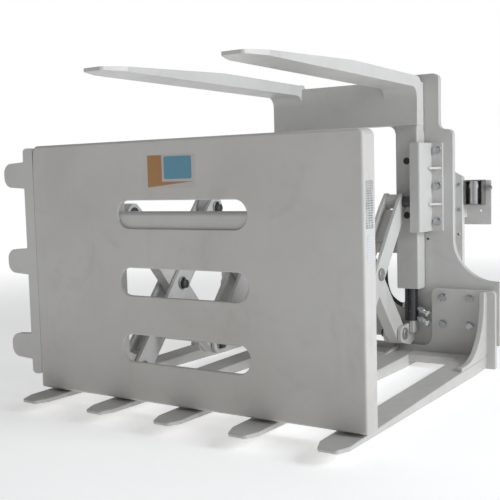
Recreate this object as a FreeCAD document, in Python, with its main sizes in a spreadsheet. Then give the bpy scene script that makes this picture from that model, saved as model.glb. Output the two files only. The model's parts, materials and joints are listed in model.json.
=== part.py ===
"""Push-clamp attachment for a lift truck: a slotted pusher plate on a two-stage
scissor linkage, a five-tine lower platen and an upper clamp carriage with two arms.

Frame: millimetres, X to the right, Y towards the truck, Z up.  The origin is on the
floor, under the middle of the upright plate that carries the tines.
"""
import FreeCAD, Part
import Sketcher
import math
import os
import re

os.makedirs("parts", exist_ok=True)
doc = FreeCAD.newDocument("PushClamp")
sheet = doc.addObject("Spreadsheet::Sheet", "Dims")

# name, value in mm (or degrees), what it sizes
dimensions = [
    ("face_width", 1206, "pusher plate, side to side"),
    ("face_height", 820, "pusher plate, bottom to top"),
    ("face_depth", 70, "pusher plate, front to back"),
    ("face_skin", 10, "pusher plate sheet thickness"),
    ("face_front", -1148, "front of the pusher plate at rest"),
    ("face_bottom", 56, "underside of the pusher plate"),
    ("face_corner", 20, "corner radius of the pusher plate"),
    ("slot_length", 480, "slot, end to end"),
    ("slot_height", 88, "slot height"),
    ("slot_pitch", 211, "slot spacing"),
    ("slot_lowest", 226, "height of the lowest slot's centre line"),
    ("channel_inner", 243, "inner side of the pusher's right upright channel"),
    ("channel_outer", 385, "outer side of the pusher's right upright channel"),
    ("channel_wall", 8, "upright channel wall"),
    ("bar_width", 43.5, "side bar beside the pusher plate"),
    ("bar_length", 769, "side bar length"),
    ("bar_thick", 20, "side bar thickness"),
    ("bar_gap", 1.5, "gap between the side bar and the plate"),
    ("bar_drop", 6, "top of the side bar, below the plate's top"),
    ("tab_reach", 94, "tab, out from the side bar"),
    ("tab_height", 90, "tab height"),
    ("tab_pitch", 293, "tab spacing"),
    ("tab_middle", 431, "middle tab, above the pusher plate's underside"),
    ("beam_drop", 64, "back beam, below the top slot's centre line"),
    ("beam_height", 72, "back beam height"),
    ("tine_width", 95, "tine width"),
    ("tine_heel", 48, "tine thickness at the heel"),
    ("tine_tip", 12, "tine thickness at the tip"),
    ("tine_reach", 1260, "tine length in front of its upright plate"),
    ("tine_inner", 264, "middle tine to inner tine"),
    ("tine_outer", 543, "middle tine to outer tine"),
    ("tine_flat", 140, "flat part of the tine's underside"),
    ("platen_width", 1248, "upright plate under the tines' heels, full width"),
    ("platen_height", 300, "ears of the upright plate"),
    ("platen_sill", 70, "height of the plate between its ears"),
    ("platen_thick", 25, "upright plate thickness"),
    ("ear_width", 248, "ear width"),
    ("ear_bolt_pitch", 105, "bolt spacing on each ear"),
    ("bolt_size", 16, "thread diameter of the large bolts"),
    ("hole_play", 1, "bolt hole radius over bolt radius"),
    ("main_thick", 30, "main plate thickness"),
    ("main_foot", 634, "main plate, outer edge at the foot"),
    ("main_waist", 455, "main plate, outer edge above the foot"),
    ("main_low", 86, "main plate underside"),
    ("main_toe_low", 62, "underside of the inner toe"),
    ("main_shelf", 331, "top of the main plate's foot"),
    ("main_sweep", 165, "radius between foot and upright"),
    ("main_shoulder", 920, "height of the main plate's shoulder"),
    ("main_top", 1136, "top of the main plate"),
    ("main_toe", 230, "height of the inner toe"),
    ("toe_reach", 100, "inner toe width"),
    ("tab_width", 100, "upper tab of the main plate"),
    ("carriage_shift", 50, "clamp carriage centre, right of the middle"),
    ("leg_spread", 245, "carriage centre to leg centre"),
    ("leg_width", 92, "carriage leg, side to side"),
    ("leg_front", -58, "front of the leg"),
    ("leg_depth", 66, "leg, front to back"),
    ("leg_wall", 8, "leg wall"),
    ("leg_low", 301, "underside of the leg"),
    ("leg_high", 1104, "top of the leg"),
    ("leg_hole", 11.5, "radius of the holes in the leg"),
    ("leg_hole_low", 590, "lower hole in the leg"),
    ("leg_hole_high", 801, "upper hole in the leg"),
    ("shoe_height", 80, "guide shoe height"),
    ("shank_depth", 59, "arm shank, front to back"),
    ("shank_low", 936, "underside of the shank"),
    ("arm_width", 134, "clamp arm width"),
    ("arm_top", 1118, "top of the clamp arm"),
    ("arm_under", 1076, "underside of the clamp arm"),
    ("arm_tip", 13, "arm thickness at the tip"),
    ("arm_reach", 1288, "clamp arm tip, forward of the origin"),
    ("arm_taper", 610, "where the arm starts to get thinner, behind its tip"),
    ("pivot_back", -93.5, "rear pivot line, front to back"),
    ("pivot_height", 128, "height of the lower pivots"),
    ("link_length", 690, "scissor arm, pivot to pivot"),
    ("link_angle", 48.5, "scissor arm above the horizontal at rest"),
    ("link_half", 40, "half the width of a scissor arm"),
    ("link_nose", 30, "end radius of a scissor arm at a roller"),
    ("pair_shift", -25, "centre of the scissor pairs, right of the middle"),
    ("pair_inner", 220, "inner face of the right scissor pair"),
    ("fork_plate", 12, "plate thickness of the outer arms"),
    ("core_gap", 5, "gap between an inner arm and its outer plates"),
    ("core_thick", 41, "inner arm thickness"),
    ("pin_radius", 20, "scissor pin radius"),
    ("run_play", 0.05, "running clearance on a radius"),
    ("tie_radius", 26, "cross tube radius"),
    ("tie_wall", 6, "cross tube wall"),
    ("ram_station", 215, "cross tube with the push cylinders, from the centre pin"),
    ("tie_station", 200, "front cross tubes, from the centre pin"),
    ("ram_spread", 45, "right push cylinder"),
    ("ram_eye", 38, "push cylinder eye radius"),
    ("ram_radius", 34, "push cylinder barrel radius"),
    ("ram_bore", 27, "push cylinder bore radius"),
    ("ram_rod", 15, "push cylinder rod radius"),
    ("ram_length", 226, "push cylinder barrel, from its eye's centre"),
    ("rod_length", 221, "push cylinder rod, from its eye's centre"),
    ("track_inner", 332, "roller track, inner lip"),
    ("track_web", 12, "roller track web"),
    ("track_width", 44, "roller track, side to side"),
    ("track_depth", 63, "roller track, front to back"),
    ("track_lip", 8, "roller track lips"),
    ("track_low", 527, "underside of the rear track"),
    ("track_high", 868, "top of the rear track"),
    ("flange_width", 42, "bolting flange of the rear track"),
    ("roller_radius", 23, "roller radius"),
    ("roller_width", 26, "roller width"),
    ("jack_radius", 26, "clamp cylinder barrel radius"),
    ("jack_bore", 21, "clamp cylinder bore radius"),
    ("jack_rod", 14, "clamp cylinder rod radius"),
    ("jack_base", 171, "underside of the clamp cylinder"),
    ("jack_top", 640, "top of the clamp cylinder barrel"),
    ("port_slope", 30, "cylinder ports, below the horizontal"),
    ("hose_radius", 8, "hose radius"),
    ("rod_end", 1000, "top of the clamp cylinder's rod"),
    ("hook_span", 407, "between the upper and lower hook lines"),
    ("hook_line", 476, "height of the upper hook line"),
    ("hook_width", 130, "hook width"),
    ("hook_spread", 210, "hook centre, off the middle"),
    ("cross_thick", 30, "rear cross bar thickness"),
    ("bar_reach", 430, "upper cross bar, half its length"),
    ("side_edge", 482, "outer edge of the side members"),
    ("side_low", 363, "underside of the side members"),
    ("side_high", 755, "top of the side members"),
    ("side_hole", 511, "lowest hole in the side members"),
    ("side_pitch", 96, "hole spacing in the side members"),
    ("panel_right", 577, "right edge of the valve housing's panel"),
    ("panel_low", 546, "underside of the panel"),
    ("panel_high", 719, "top of the panel"),
]
for row, (alias, value, note) in enumerate(dimensions, start=1):
    sheet.set("A%d" % row, alias.replace("_", " "))
    sheet.set("B%d" % row, str(value))
    sheet.set("C%d" % row, note)
    sheet.setAlias("B%d" % row, alias)
doc.recompute()

names = sorted((alias for alias, value, note in dimensions), key=len, reverse=True)
pattern = re.compile(r"\b(%s)\b" % "|".join(names))
nodes = []


def bound(text):
    """Turn 'face_width / 2' into an expression on the sheet."""
    return pattern.sub(r"Dims.\1", str(text))


def number(text):
    """The present value of an expression, in mm or degrees."""
    result = sheet.evalExpression(bound(text))
    return float(getattr(result, "Value", result))


def bind(thing, field, text):
    thing.setExpression(field, bound(text))


def keep(thing, label):
    """Give a finished sub-part its own name and list it for export."""
    thing.Label = label
    nodes.append(thing)
    return thing


def box(x, y, z):
    """A block between two expressions along each axis."""
    block = doc.addObject("Part::Box", "Block")
    for side, axis, span in (("Length", "x", x), ("Width", "y", y), ("Height", "z", z)):
        bind(block, side, "(%s) - (%s)" % (span[1], span[0]))
        bind(block, "Placement.Base." + axis, span[0])
    return block


turns = {
    "x": FreeCAD.Rotation(FreeCAD.Vector(0, 1, 0), 90),
    "y": FreeCAD.Rotation(FreeCAD.Vector(1, 0, 0), -90),
    "z": FreeCAD.Rotation(),
}


def rod(axis, radius, span, centre):
    """A cylinder along one axis; centre holds the other two places in X, Y, Z order."""
    bar = doc.addObject("Part::Cylinder", "Bar")
    bar.Placement.Rotation = turns[axis]
    bind(bar, "Radius", radius)
    bind(bar, "Height", "(%s) - (%s)" % (span[1], span[0]))
    places = list(centre)
    places.insert("xyz".index(axis), span[0])
    for letter, place in zip("xyz", places):
        bind(bar, "Placement.Base." + letter, place)
    return bar


def hexagon(axis, size, span, centre):
    """A six-sided head or nut; size is the thread diameter."""
    head = doc.addObject("Part::Prism", "Hexagon")
    head.Polygon = 6
    head.Placement.Rotation = turns[axis]
    bind(head, "Circumradius", "0.866 * (%s)" % size)
    bind(head, "Height", "(%s) - (%s)" % (span[1], span[0]))
    places = list(centre)
    places.insert("xyz".index(axis), span[0])
    for letter, place in zip("xyz", places):
        bind(head, "Placement.Base." + letter, place)
    return head


def fuse(*things):
    if len(things) == 1:
        return things[0]
    joined = doc.addObject("Part::MultiFuse", "Joined")
    joined.Shapes = list(things)
    joined.Refine = True
    return joined


def cut(base, *tools):
    trimmed = doc.addObject("Part::Cut", "Trimmed")
    trimmed.Base = base
    trimmed.Tool = fuse(*tools)
    return trimmed


def common(first, second):
    shared = doc.addObject("Part::Common", "Shared")
    shared.Base = first
    shared.Tool = second
    return shared


def group(*things):
    """Separate solids that share one name."""
    together = doc.addObject("Part::Compound", "Together")
    together.Links = list(things)
    return together


def mirror(thing, about="0"):
    """The same piece on the other side of a plane X = about."""
    twin = doc.addObject("Part::Mirroring", "Twin")
    twin.Source = thing
    twin.Normal = (1, 0, 0)
    bind(twin, "Base.x", about)
    return twin


def both(thing, about="0"):
    return group(thing, mirror(thing, about))


def tilted(thing, angle, y, z):
    """Turn a piece built about the X axis and set it at Y, Z."""
    thing.Placement = FreeCAD.Placement(FreeCAD.Vector(), FreeCAD.Rotation(FreeCAD.Vector(1, 0, 0), 1))
    bind(thing, "Placement.Rotation.Angle", angle)
    bind(thing, "Placement.Base.y", y)
    bind(thing, "Placement.Base.z", z)
    return thing


def pad(plane, outline, span, holes=(), rounds=()):
    """A plate from an outline: a sketch on one of the body's own planes, padded.

    plane is XY, XZ or YZ; outline lists corners as pairs of expressions; span is the
    start and end along the third axis; holes are (across, up, radius); rounds are
    (corner numbers, radius).
    """
    body = doc.addObject("PartDesign::Body", "Plate")
    base = [part for part in body.Origin.OriginFeatures if part.Role == plane + "_Plane"][0]
    sketch = body.newObject("Sketcher::SketchObject", "Outline")
    sketch.AttachmentSupport = [(base, "")]
    sketch.MapMode = "FlatFace"
    flipped = plane == "XZ"
    bind(sketch, "AttachmentOffset.Base.z", ("-(%s)" if flipped else "%s") % span[0])
    corners = [(number(across), number(up)) for across, up in outline]
    count = len(corners)
    lines = []
    for index in range(count):
        start = FreeCAD.Vector(*corners[index], 0)
        end = FreeCAD.Vector(*corners[(index + 1) % count], 0)
        lines.append(Part.LineSegment(start, end))
    sketch.addGeometry(lines, False)
    joins = [Sketcher.Constraint("Coincident", i, 2, (i + 1) % count, 1) for i in range(count)]
    sketch.addConstraint(joins)
    for index, (across, up) in enumerate(outline):
        places = (("DistanceX", across, corners[index][0]), ("DistanceY", up, corners[index][1]))
        for kind, text, value in places:
            place = sketch.addConstraint(Sketcher.Constraint(kind, -1, 1, index, 1, value))
            bind(sketch, "Constraints[%d]" % place, text)
    for across, up, radius in holes:
        middle = (number(across), number(up))
        circle = Part.Circle(FreeCAD.Vector(*middle, 0), FreeCAD.Vector(0, 0, 1), number(radius))
        ring = sketch.addGeometry(circle, False)
        for kind, text, value in (("DistanceX", across, middle[0]), ("DistanceY", up, middle[1])):
            place = sketch.addConstraint(Sketcher.Constraint(kind, -1, 1, ring, 3, value))
            bind(sketch, "Constraints[%d]" % place, text)
        place = sketch.addConstraint(Sketcher.Constraint("Radius", ring, number(radius)))
        bind(sketch, "Constraints[%d]" % place, radius)
    raised = body.newObject("PartDesign::Pad", "Raised")
    raised.Profile = sketch
    raised.Reversed = flipped
    bind(raised, "Length", "(%s) - (%s)" % (span[1], span[0]))
    doc.recompute()
    latest = raised
    for numbers, radius in rounds:
        edges = []
        for place, edge in enumerate(latest.Shape.Edges, start=1):
            if len(edge.Vertexes) != 2:
                continue
            ends = [flat(plane, vertex.Point) for vertex in edge.Vertexes]
            if close(ends[0], ends[1]) and any(close(ends[0], corners[n]) for n in numbers):
                edges.append("Edge%d" % place)
        assert len(edges) == len(numbers), (plane, outline, numbers, len(edges))
        rounded = body.newObject("PartDesign::Fillet", "Rounded")
        rounded.Base = (latest, edges)
        bind(rounded, "Radius", radius)
        doc.recompute()
        latest = rounded
    body.Tip = latest
    return body


def flat(plane, point):
    return {"XY": (point.x, point.y), "XZ": (point.x, point.z), "YZ": (point.y, point.z)}[plane]


def close(first, second):
    return abs(first[0] - second[0]) < 0.01 and abs(first[1] - second[1]) < 0.01



# ---- pusher plate: a shallow box with three slots and a liner round each slot ----
track_middle = "pair_shift / 2"
face_left = "-face_width / 2"
face_right = "face_width / 2"
face_back = "(face_front + face_depth)"
face_top = "(face_bottom + face_height)"
skin_back = "(face_front + face_skin)"
slot_heights = ["slot_lowest + %d * slot_pitch" % step for step in range(3)]


def slot_cutter(height, y_span):
    """A round-ended bar across the plate."""
    half = "(slot_length / 2 - slot_height / 2)"
    radius = "(slot_height / 2)"
    low = "%s - %s" % (height, radius)
    high = "%s + %s" % (height, radius)
    middle = box(("-" + half, half), y_span, (low, high))
    left = rod("y", radius, y_span, ("-" + half, height))
    right = rod("y", radius, y_span, (half, height))
    return fuse(left, middle, right)


face_outline = [
    (face_left, "face_bottom"),
    (face_right, "face_bottom"),
    (face_right, face_top),
    (face_left, face_top),
]


def face_sheet(label, front, back):
    blank = pad("XZ", face_outline, (front, back), rounds=[((2, 3), "face_corner")])
    through = (front + " - 1", back + " + 1")
    slots = [slot_cutter(height, through) for height in slot_heights]
    return keep(cut(blank, *slots), label)


face_sheet("face_front_sheet", "face_front", skin_back)
rim_hollow = [
    ("-face_width / 2 + face_skin", "face_bottom + face_skin"),
    ("face_width / 2 - face_skin", "face_bottom + face_skin"),
    ("face_width / 2 - face_skin", "face_bottom + face_height - face_skin"),
    ("-face_width / 2 + face_skin", "face_bottom + face_height - face_skin"),
]
rim_outer = pad("XZ", face_outline, (skin_back, face_back), rounds=[((2, 3), "face_corner")])
rim_inner = pad("XZ", rim_hollow, (skin_back + " - 1", face_back + " + 1"))
keep(cut(rim_outer, rim_inner), "face_rim")

# upright channels behind the sheet, under the tracks and the lower pivots
channel_outline = [
    ("channel_inner", skin_back),
    ("channel_inner", face_back),
    ("channel_outer", face_back),
    ("channel_outer", skin_back),
    ("channel_outer - channel_wall", skin_back),
    ("channel_outer - channel_wall", face_back + " - channel_wall"),
    ("channel_inner + channel_wall", face_back + " - channel_wall"),
    ("channel_inner + channel_wall", skin_back),
]
channel_span = ("face_bottom + face_skin", "face_bottom + face_height - face_skin")
keep(both(pad("XY", channel_outline, channel_span), track_middle), "face_uprights")

# stiff beam behind the sheet, across the lower part of the top slot
beam_low = "(slot_lowest + 2 * slot_pitch - beam_drop)"
beam = pad(
    "YZ",
    [
        (skin_back, beam_low),
        (face_back, beam_low),
        (face_back, beam_low + " + beam_height"),
        (skin_back, beam_low + " + beam_height"),
    ],
    ("pair_shift - channel_inner", "channel_inner"),
    rounds=[((1, 2, 3), "14")],
)
keep(beam, "face_back_beam")

# ---- side bar with three rounded tabs, beside the left edge ----
bar_right = "(-face_width / 2 - bar_gap)"
bar_left = "(-face_width / 2 - bar_gap - bar_width)"
bar_low = "(face_bottom + face_height - bar_drop - bar_length)"
bar_high = "(face_bottom + face_height - bar_drop)"
bar_outline = [
    (bar_left, bar_low),
    (bar_right, bar_low),
    (bar_right, bar_high),
    (bar_left, bar_high),
]
bar_span = ("face_front", "face_front + bar_thick")
tab_left = "(-face_width / 2 - bar_gap - bar_width - tab_reach)"
tabs = []
for step in (-1, 0, 1):
    middle = "(face_bottom + tab_middle + %d * tab_pitch)" % step
    tab_outline = [
        (tab_left, middle + " - tab_height / 2 + 6"),
        (bar_left + " + 5", middle + " - tab_height / 2"),
        (bar_left + " + 5", middle + " + tab_height / 2"),
        (tab_left, middle + " + tab_height / 2 - 6"),
    ]
    tabs.append(pad("XZ", tab_outline, bar_span, rounds=[((0, 3), "34")]))
brackets = []
for step in (-1, 1):
    middle = "(face_bottom + tab_middle + %d * tab_pitch)" % step
    heights = (middle + " - 30", middle + " + 30")
    across = (bar_left + " + 8", face_left)
    brackets.append(box(across, ("face_front + bar_thick", "face_front + bar_thick + 12"), heights))
bar_blank = pad("XZ", bar_outline, bar_span, rounds=[((0, 1, 2, 3), "15")])
keep(fuse(bar_blank, *tabs, *brackets), "face_side_bar")

# ---- lower platen: five tines on an upright plate ----
plate_front = "(-platen_thick / 2)"
plate_back = "(platen_thick / 2)"
ear_inner = "(platen_width / 2 - ear_width)"
ear_bolt_inner = "(platen_width / 2 - ear_width + 45)"
ear_bolt_low = "(platen_height - 32 - ear_bolt_pitch)"
ear_places = [
    (ear_bolt_inner + across, ear_bolt_low + up)
    for across in ("", " + ear_bolt_pitch")
    for up in ("", " + ear_bolt_pitch")
]
tine_places = ["-tine_outer", "-tine_inner", "0", "tine_inner", "tine_outer"]
for order, place in enumerate(tine_places, start=1):
    profile = [
        ("-tine_reach - platen_thick / 2", "tine_heel - tine_tip"),
        ("-tine_flat - platen_thick / 2", "0"),
        (plate_front, "0"),
        (plate_front, "tine_heel"),
        ("-tine_reach - platen_thick / 2", "tine_heel"),
    ]
    side = pad("YZ", profile, (place + " - tine_width / 2", place + " + tine_width / 2"))
    tip = "-tine_reach - platen_thick / 2"
    plan = [
        (place + " - tine_width / 2", plate_front),
        (place + " - tine_width / 2", tip + " + 55"),
        (place + " - tine_width / 2 + 20", tip),
        (place + " + tine_width / 2 - 18", tip),
        (place + " + tine_width / 2", tip + " + 45"),
        (place + " + tine_width / 2", plate_front),
    ]
    blank = pad("XY", plan, ("-5", "tine_heel + 5"), rounds=[((1, 2, 3, 4), "12")])
    keep(common(side, blank), "tine_%d" % order)

upright_outline = [
    ("-platen_width / 2", "0"),
    ("platen_width / 2", "0"),
    ("platen_width / 2", "platen_height"),
    (ear_inner, "platen_height"),
    (ear_inner, "platen_sill"),
    ("-" + ear_inner, "platen_sill"),
    ("-" + ear_inner, "platen_height"),
    ("-platen_width / 2", "platen_height"),
]
bolt_hole = "(bolt_size / 2 + hole_play)"
ear_holes = [(x, z, bolt_hole) for x, z in ear_places]
ear_holes += [("-(%s)" % x, z, bolt_hole) for x, z in ear_places]
upright = pad(
    "XZ",
    upright_outline,
    (plate_front, plate_back),
    holes=ear_holes,
    rounds=[((4, 5), "45"), ((2, 3, 6, 7), "18")],
)
keep(upright, "platen_upright")

shelves = []
for first, second in zip(tine_places[:-1], tine_places[1:]):
    across = (first + " + tine_width / 2", second + " - tine_width / 2")
    shelves.append(box(across, (plate_front + " - 85", plate_front), ("tine_heel - 25", "tine_heel")))
keep(group(*shelves), "platen_shelves")

gusset_profile = [
    (plate_front, "tine_heel"),
    (plate_front, "platen_height - 4"),
    (plate_front + " - 22", "platen_height - 4"),
    (plate_front + " - 34", "tine_heel + 14"),
    (plate_front + " - 290", "tine_heel + 14"),
    (plate_front + " - 290", "tine_heel"),
]
gusset_edge = "(tine_outer + tine_width / 2)"
gusset = pad("YZ", gusset_profile, (gusset_edge + " - 20", gusset_edge), rounds=[((3,), "200")])
low_profile = [
    (plate_front, "tine_heel"),
    (plate_front, "platen_sill - 2"),
    (plate_front + " - 25", "platen_sill - 2"),
    (plate_front + " - 150", "tine_heel"),
]
low_edge = "(tine_inner - tine_width / 2)"
low_gusset = pad("YZ", low_profile, (low_edge + " + 4", low_edge + " + 20"))
keep(group(both(gusset), both(low_gusset)), "platen_gussets")

# ---- main plates, the rear frame and the truck hooks ----
main_front = plate_back
main_back = "(platen_thick / 2 + main_thick)"
right_inner = "(leg_spread + carriage_shift + 5)"
left_inner = "(leg_spread - carriage_shift + 5)"
flange_middle = "(track_inner + track_width + flange_width / 2)"
flange_heights = ["track_low + 36", "track_low + 175", "track_low + 314"]
track_hole = "(8 + hole_play)"


def main_plate(inner, flange_line):
    outline = [
        (inner + " - toe_reach", "main_toe_low"),
        (ear_inner + " + 40", "main_toe_low"),
        (ear_inner + " + 40", "main_low"),
        ("main_foot", "main_low"),
        ("main_foot", "main_shelf"),
        ("main_waist", "main_shelf"),
        ("main_waist", "main_shoulder"),
        (inner + " + tab_width", "main_shoulder"),
        (inner + " + tab_width", "main_top"),
        (inner, "main_top"),
        (inner, "main_toe"),
        (inner + " - toe_reach", "main_toe"),
    ]
    holes = [(x, z, bolt_hole) for x, z in ear_places]
    holes += [(flange_line, z, track_hole) for z in flange_heights]
    holes.append((inner + " + 53", "493", "5"))
    rounds = [((5,), "main_sweep"), ((6, 7, 8), "24"), ((0, 10, 11), "12")]
    return pad("XZ", outline, (main_front, main_back), holes=holes, rounds=rounds)


keep(main_plate(right_inner, flange_middle), "main_plate_right")
keep(mirror(main_plate(left_inner, flange_middle + " - pair_shift")), "main_plate_left")
bar_back = "(platen_thick / 2 + main_thick + cross_thick)"
upper_low = "(hook_line - 46)"
cross_span = (main_back, bar_back)
upper_heights = (upper_low, "hook_line + 64")
lower_heights = ("main_low", "main_low + 114")
keep(box(("-bar_reach", "bar_reach"), cross_span, upper_heights), "upper_cross_bar")
keep(box(("-bar_reach + 40", "bar_reach - 40"), cross_span, lower_heights), "lower_cross_bar")
side_outline = [
    ("bar_reach", "side_low"),
    ("side_edge", "side_low"),
    ("side_edge", "side_high - 22"),
    ("bar_reach + 14", "side_high"),
    ("bar_reach", "side_high"),
]
side_holes = [("side_edge - 15", "side_hole + %d * side_pitch" % step, "6") for step in range(3)]
side_member = pad("XZ", side_outline, (main_back, bar_back), holes=side_holes, rounds=[((1, 2), "6")])
nut_notches = [
    rod("y", "16", (main_back + " - 1", bar_back + " + 1"), (flange_middle + " - pair_shift", z))
    for z in flange_heights
]
keep(group(side_member, mirror(cut(side_member, *nut_notches))), "side_members")


def hook(line, sign, tail):
    """A truck hook: its lip points down at the top and up at the bottom."""
    rise = "%s %s " % (line, "+" if sign > 0 else "-")
    fall = "%s %s " % (line, "-" if sign > 0 else "+")
    profile = [
        (bar_back, fall + tail),
        (bar_back + " + 16", fall + tail),
        (bar_back + " + 16", rise + "16"),
        (bar_back + " + 38", rise + "16"),
        (bar_back + " + 38", fall + "14"),
        (bar_back + " + 54", fall + "14"),
        (bar_back + " + 54", rise + "44"),
        (bar_back, rise + "44"),
    ]
    across = ("hook_spread - hook_width / 2", "hook_spread + hook_width / 2")
    return pad("YZ", profile, across, rounds=[((5, 6), "6")])


keep(both(hook("hook_line", 1, "44")), "upper_hooks")
lower_line = "(hook_line - hook_span + 25)"
keep(both(hook(lower_line, -1, "88")), "lower_hooks")
hook_bolts = []
for x in ("hook_spread - 35", "hook_spread + 35"):
    height = lower_line + " + 68"
    hook_bolts.append(hexagon("y", "14", (bar_back + " + 16", bar_back + " + 24"), (x, height)))
keep(both(group(*hook_bolts)), "hook_bolts")

# ---- bolts ----


def through_bolt(size, head_front, nut_back, x, z):
    """A hexagon bolt along Y with its head in front and its nut behind."""
    head = hexagon("y", size, ("%s - 0.62 * (%s)" % (head_front, size), head_front), (x, z))
    washer = rod("y", "1.05 * (%s)" % size, (head_front + " - 3", head_front), (x, z))
    shank = rod("y", "(%s) / 2" % size, (head_front + " - 1", nut_back + " + 1.1 * (%s)" % size), (x, z))
    nut = hexagon("y", size, (nut_back, "%s + 0.8 * (%s)" % (nut_back, size)), (x, z))
    return fuse(head, washer, shank, nut)


ear_bolts = [through_bolt("bolt_size", plate_front, main_back, x, z) for x, z in ear_places]
keep(both(group(*ear_bolts)), "platen_bolts")
flange_front = "(platen_thick / 2 - 13.5)"
flange_bolts = [
    through_bolt("16", flange_front, main_back, flange_middle, z) for z in flange_heights
]
keep(both(group(*flange_bolts), track_middle), "track_bolts")

# ---- roller tracks ----
track_outer = "(track_inner + track_width)"
web_inner = "(track_inner + track_width - track_web)"


def track_outline(middle, foot):
    """Seen from above: a channel open towards the middle, then its foot."""
    front = "(%s - track_depth / 2)" % middle
    back = "(%s + track_depth / 2)" % middle
    if foot == "flange":
        return [
            ("track_inner", front),
            (track_outer, front),
            (track_outer, flange_front),
            (track_outer + " + flange_width", flange_front),
            (track_outer + " + flange_width", plate_back),
            (web_inner, plate_back),
            (web_inner, back),
            ("track_inner", back),
            ("track_inner", back + " - track_lip"),
            (web_inner, back + " - track_lip"),
            (web_inner, front + " + track_lip"),
            ("track_inner", front + " + track_lip"),
        ]
    return [
        ("track_inner", back),
        ("track_inner", back + " - track_lip"),
        (web_inner, back + " - track_lip"),
        (web_inner, front + " + track_lip"),
        ("track_inner", front + " + track_lip"),
        ("track_inner", front),
        ("track_inner + 8", front),
        ("track_inner + 8", face_back),
        (track_outer, face_back),
        (track_outer, back),
    ]


rear_track = pad("XY", track_outline("pivot_back", "flange"), ("track_low", "track_high"))
through = (flange_front + " - 1", plate_back + " + 1")
flange_cuts = [rod("y", track_hole, through, (flange_middle, z)) for z in flange_heights]
ribs = []
for step in (1, 3):
    rib_height = "track_low + %d" % (36 + 69.5 * step)
    rib_plan = [
        (track_outer, flange_front),
        (track_outer, flange_front + " - 46"),
        (track_outer + " + 6", flange_front + " - 46"),
        (track_outer + " + flange_width - 4", flange_front + " - 6"),
        (track_outer + " + flange_width - 4", flange_front),
    ]
    ribs.append(pad("XY", rib_plan, (rib_height + " - 4", rib_height + " + 4")))
keep(both(cut(fuse(rear_track, *ribs), *flange_cuts), track_middle), "rear_tracks")
stroke = "(2 * link_length * cos(link_angle * 1deg))"
front_pivot = "(pivot_back - %s)" % stroke
front_track = pad("XY", track_outline(front_pivot, "block"), ("track_low", "track_high"))
keep(both(front_track, track_middle), "front_tracks")

# ---- scissor linkage ----
pair_outer = "(pair_inner + 2 * fork_plate + 2 * core_gap + core_thick)"
core_inner = "(pair_inner + fork_plate + core_gap)"
core_outer = "(pair_inner + fork_plate + core_gap + core_thick)"
rise = "(link_length * sin(link_angle * 1deg))"
middle_height = "(pivot_height + %s / 2)" % rise
centre_rear = "(pivot_back - %s / 4)" % stroke
centre_front = "(pivot_back - %s * 3 / 4)" % stroke
half_link = "link_length / 2"
tight = "pin_radius"
running = "(pin_radius + run_play)"


def link_outline(noses):
    """Side view along Y; noses names the ends that carry rollers."""
    outline = []
    for sign, end in (("-", "front"), ("", "rear")):
        reach = "%s(link_length / 2 + link_half)" % sign
        if end in noses:
            reach = "%s(link_length / 2 + link_nose)" % sign
            shoulder = "%s(link_length / 2 - 60)" % sign
            corners = [
                (shoulder, "link_half"),
                (reach, "link_nose"),
                (reach, "-link_nose"),
                (shoulder, "-link_half"),
            ]
        else:
            corners = [(reach, "link_half"), (reach, "-link_half")]
        outline += corners if sign == "-" else corners[::-1]
    return outline


def link_plate(span, noses, front_hole, middle_hole, rear_hole):
    outline = link_outline(noses)
    full = [i for i, corner in enumerate(outline) if "+ link_half" in corner[0]]
    small = [i for i, corner in enumerate(outline) if "+ link_nose" in corner[0]]
    holes = [("-" + half_link, "0", front_hole), ("0", "0", middle_hole), (half_link, "0", rear_hole)]
    rounds = [(full, "link_half - 0.2")]
    if small:
        rounds.append((small, "link_nose - 2"))
    return pad("YZ", outline, span, holes=holes, rounds=rounds)


def forks(noses, front_hole, middle_hole, rear_hole, web_end):
    """Two plates either side of an inner arm, with a web where nothing passes."""
    bores = (front_hole, middle_hole, rear_hole)
    inner_plate = link_plate(("pair_inner", "pair_inner + fork_plate"), noses, *bores)
    outer_plate = link_plate((pair_outer + " - fork_plate", pair_outer), noses, *bores)
    across = ("pair_inner + fork_plate", pair_outer + " - fork_plate")
    if web_end == "rear":
        along = ("link_half + 105", half_link + " - 45")
    else:
        along = ("-" + half_link + " + 60", "-(link_half + 105)")
    web = box(across, along, ("-6", "6"))
    return fuse(inner_plate, outer_plate, web)


def cross_tube(station, reach):
    across = ("2 * pair_shift - " + reach, reach)
    outer = rod("x", "tie_radius", across, (station, "0"))
    inner = rod("x", "tie_radius - tie_wall", across, (station, "0"))
    return cut(outer, inner)


def set_link(thing, label, falling, centre):
    angle = "link_angle" if falling else "-link_angle"
    keep(tilted(thing, angle, centre, middle_height), label)


inner_span = (core_inner, core_outer)
rear_core = link_plate(inner_span, (), tight, tight, running)
rear_core_tube = cross_tube("-ram_station", core_inner)
rear_core_arms = fuse(rear_core, mirror(rear_core, "pair_shift"), rear_core_tube)
set_link(rear_core_arms, "rear_inner_arms", False, centre_rear)
front_core = link_plate(inner_span, ("front",), tight, tight, running)
front_core_tube = cross_tube("-tie_station", core_inner)
front_core_arms = fuse(front_core, mirror(front_core, "pair_shift"), front_core_tube)
set_link(front_core_arms, "front_inner_arms", False, centre_front)
rear_forks = forks(("rear",), tight, running, tight, "rear")
rear_fork_tube = cross_tube("-ram_station", "pair_inner")
rear_fork_arms = fuse(rear_forks, mirror(rear_forks, "pair_shift"), rear_fork_tube)
set_link(rear_fork_arms, "rear_outer_arms", True, centre_rear)
front_forks = forks((), running, running, running, "front")
front_fork_tube = cross_tube("-tie_station", "pair_inner")
front_fork_arms = fuse(front_forks, mirror(front_forks, "pair_shift"), front_fork_tube)
set_link(front_fork_arms, "front_outer_arms", True, centre_front)


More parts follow.
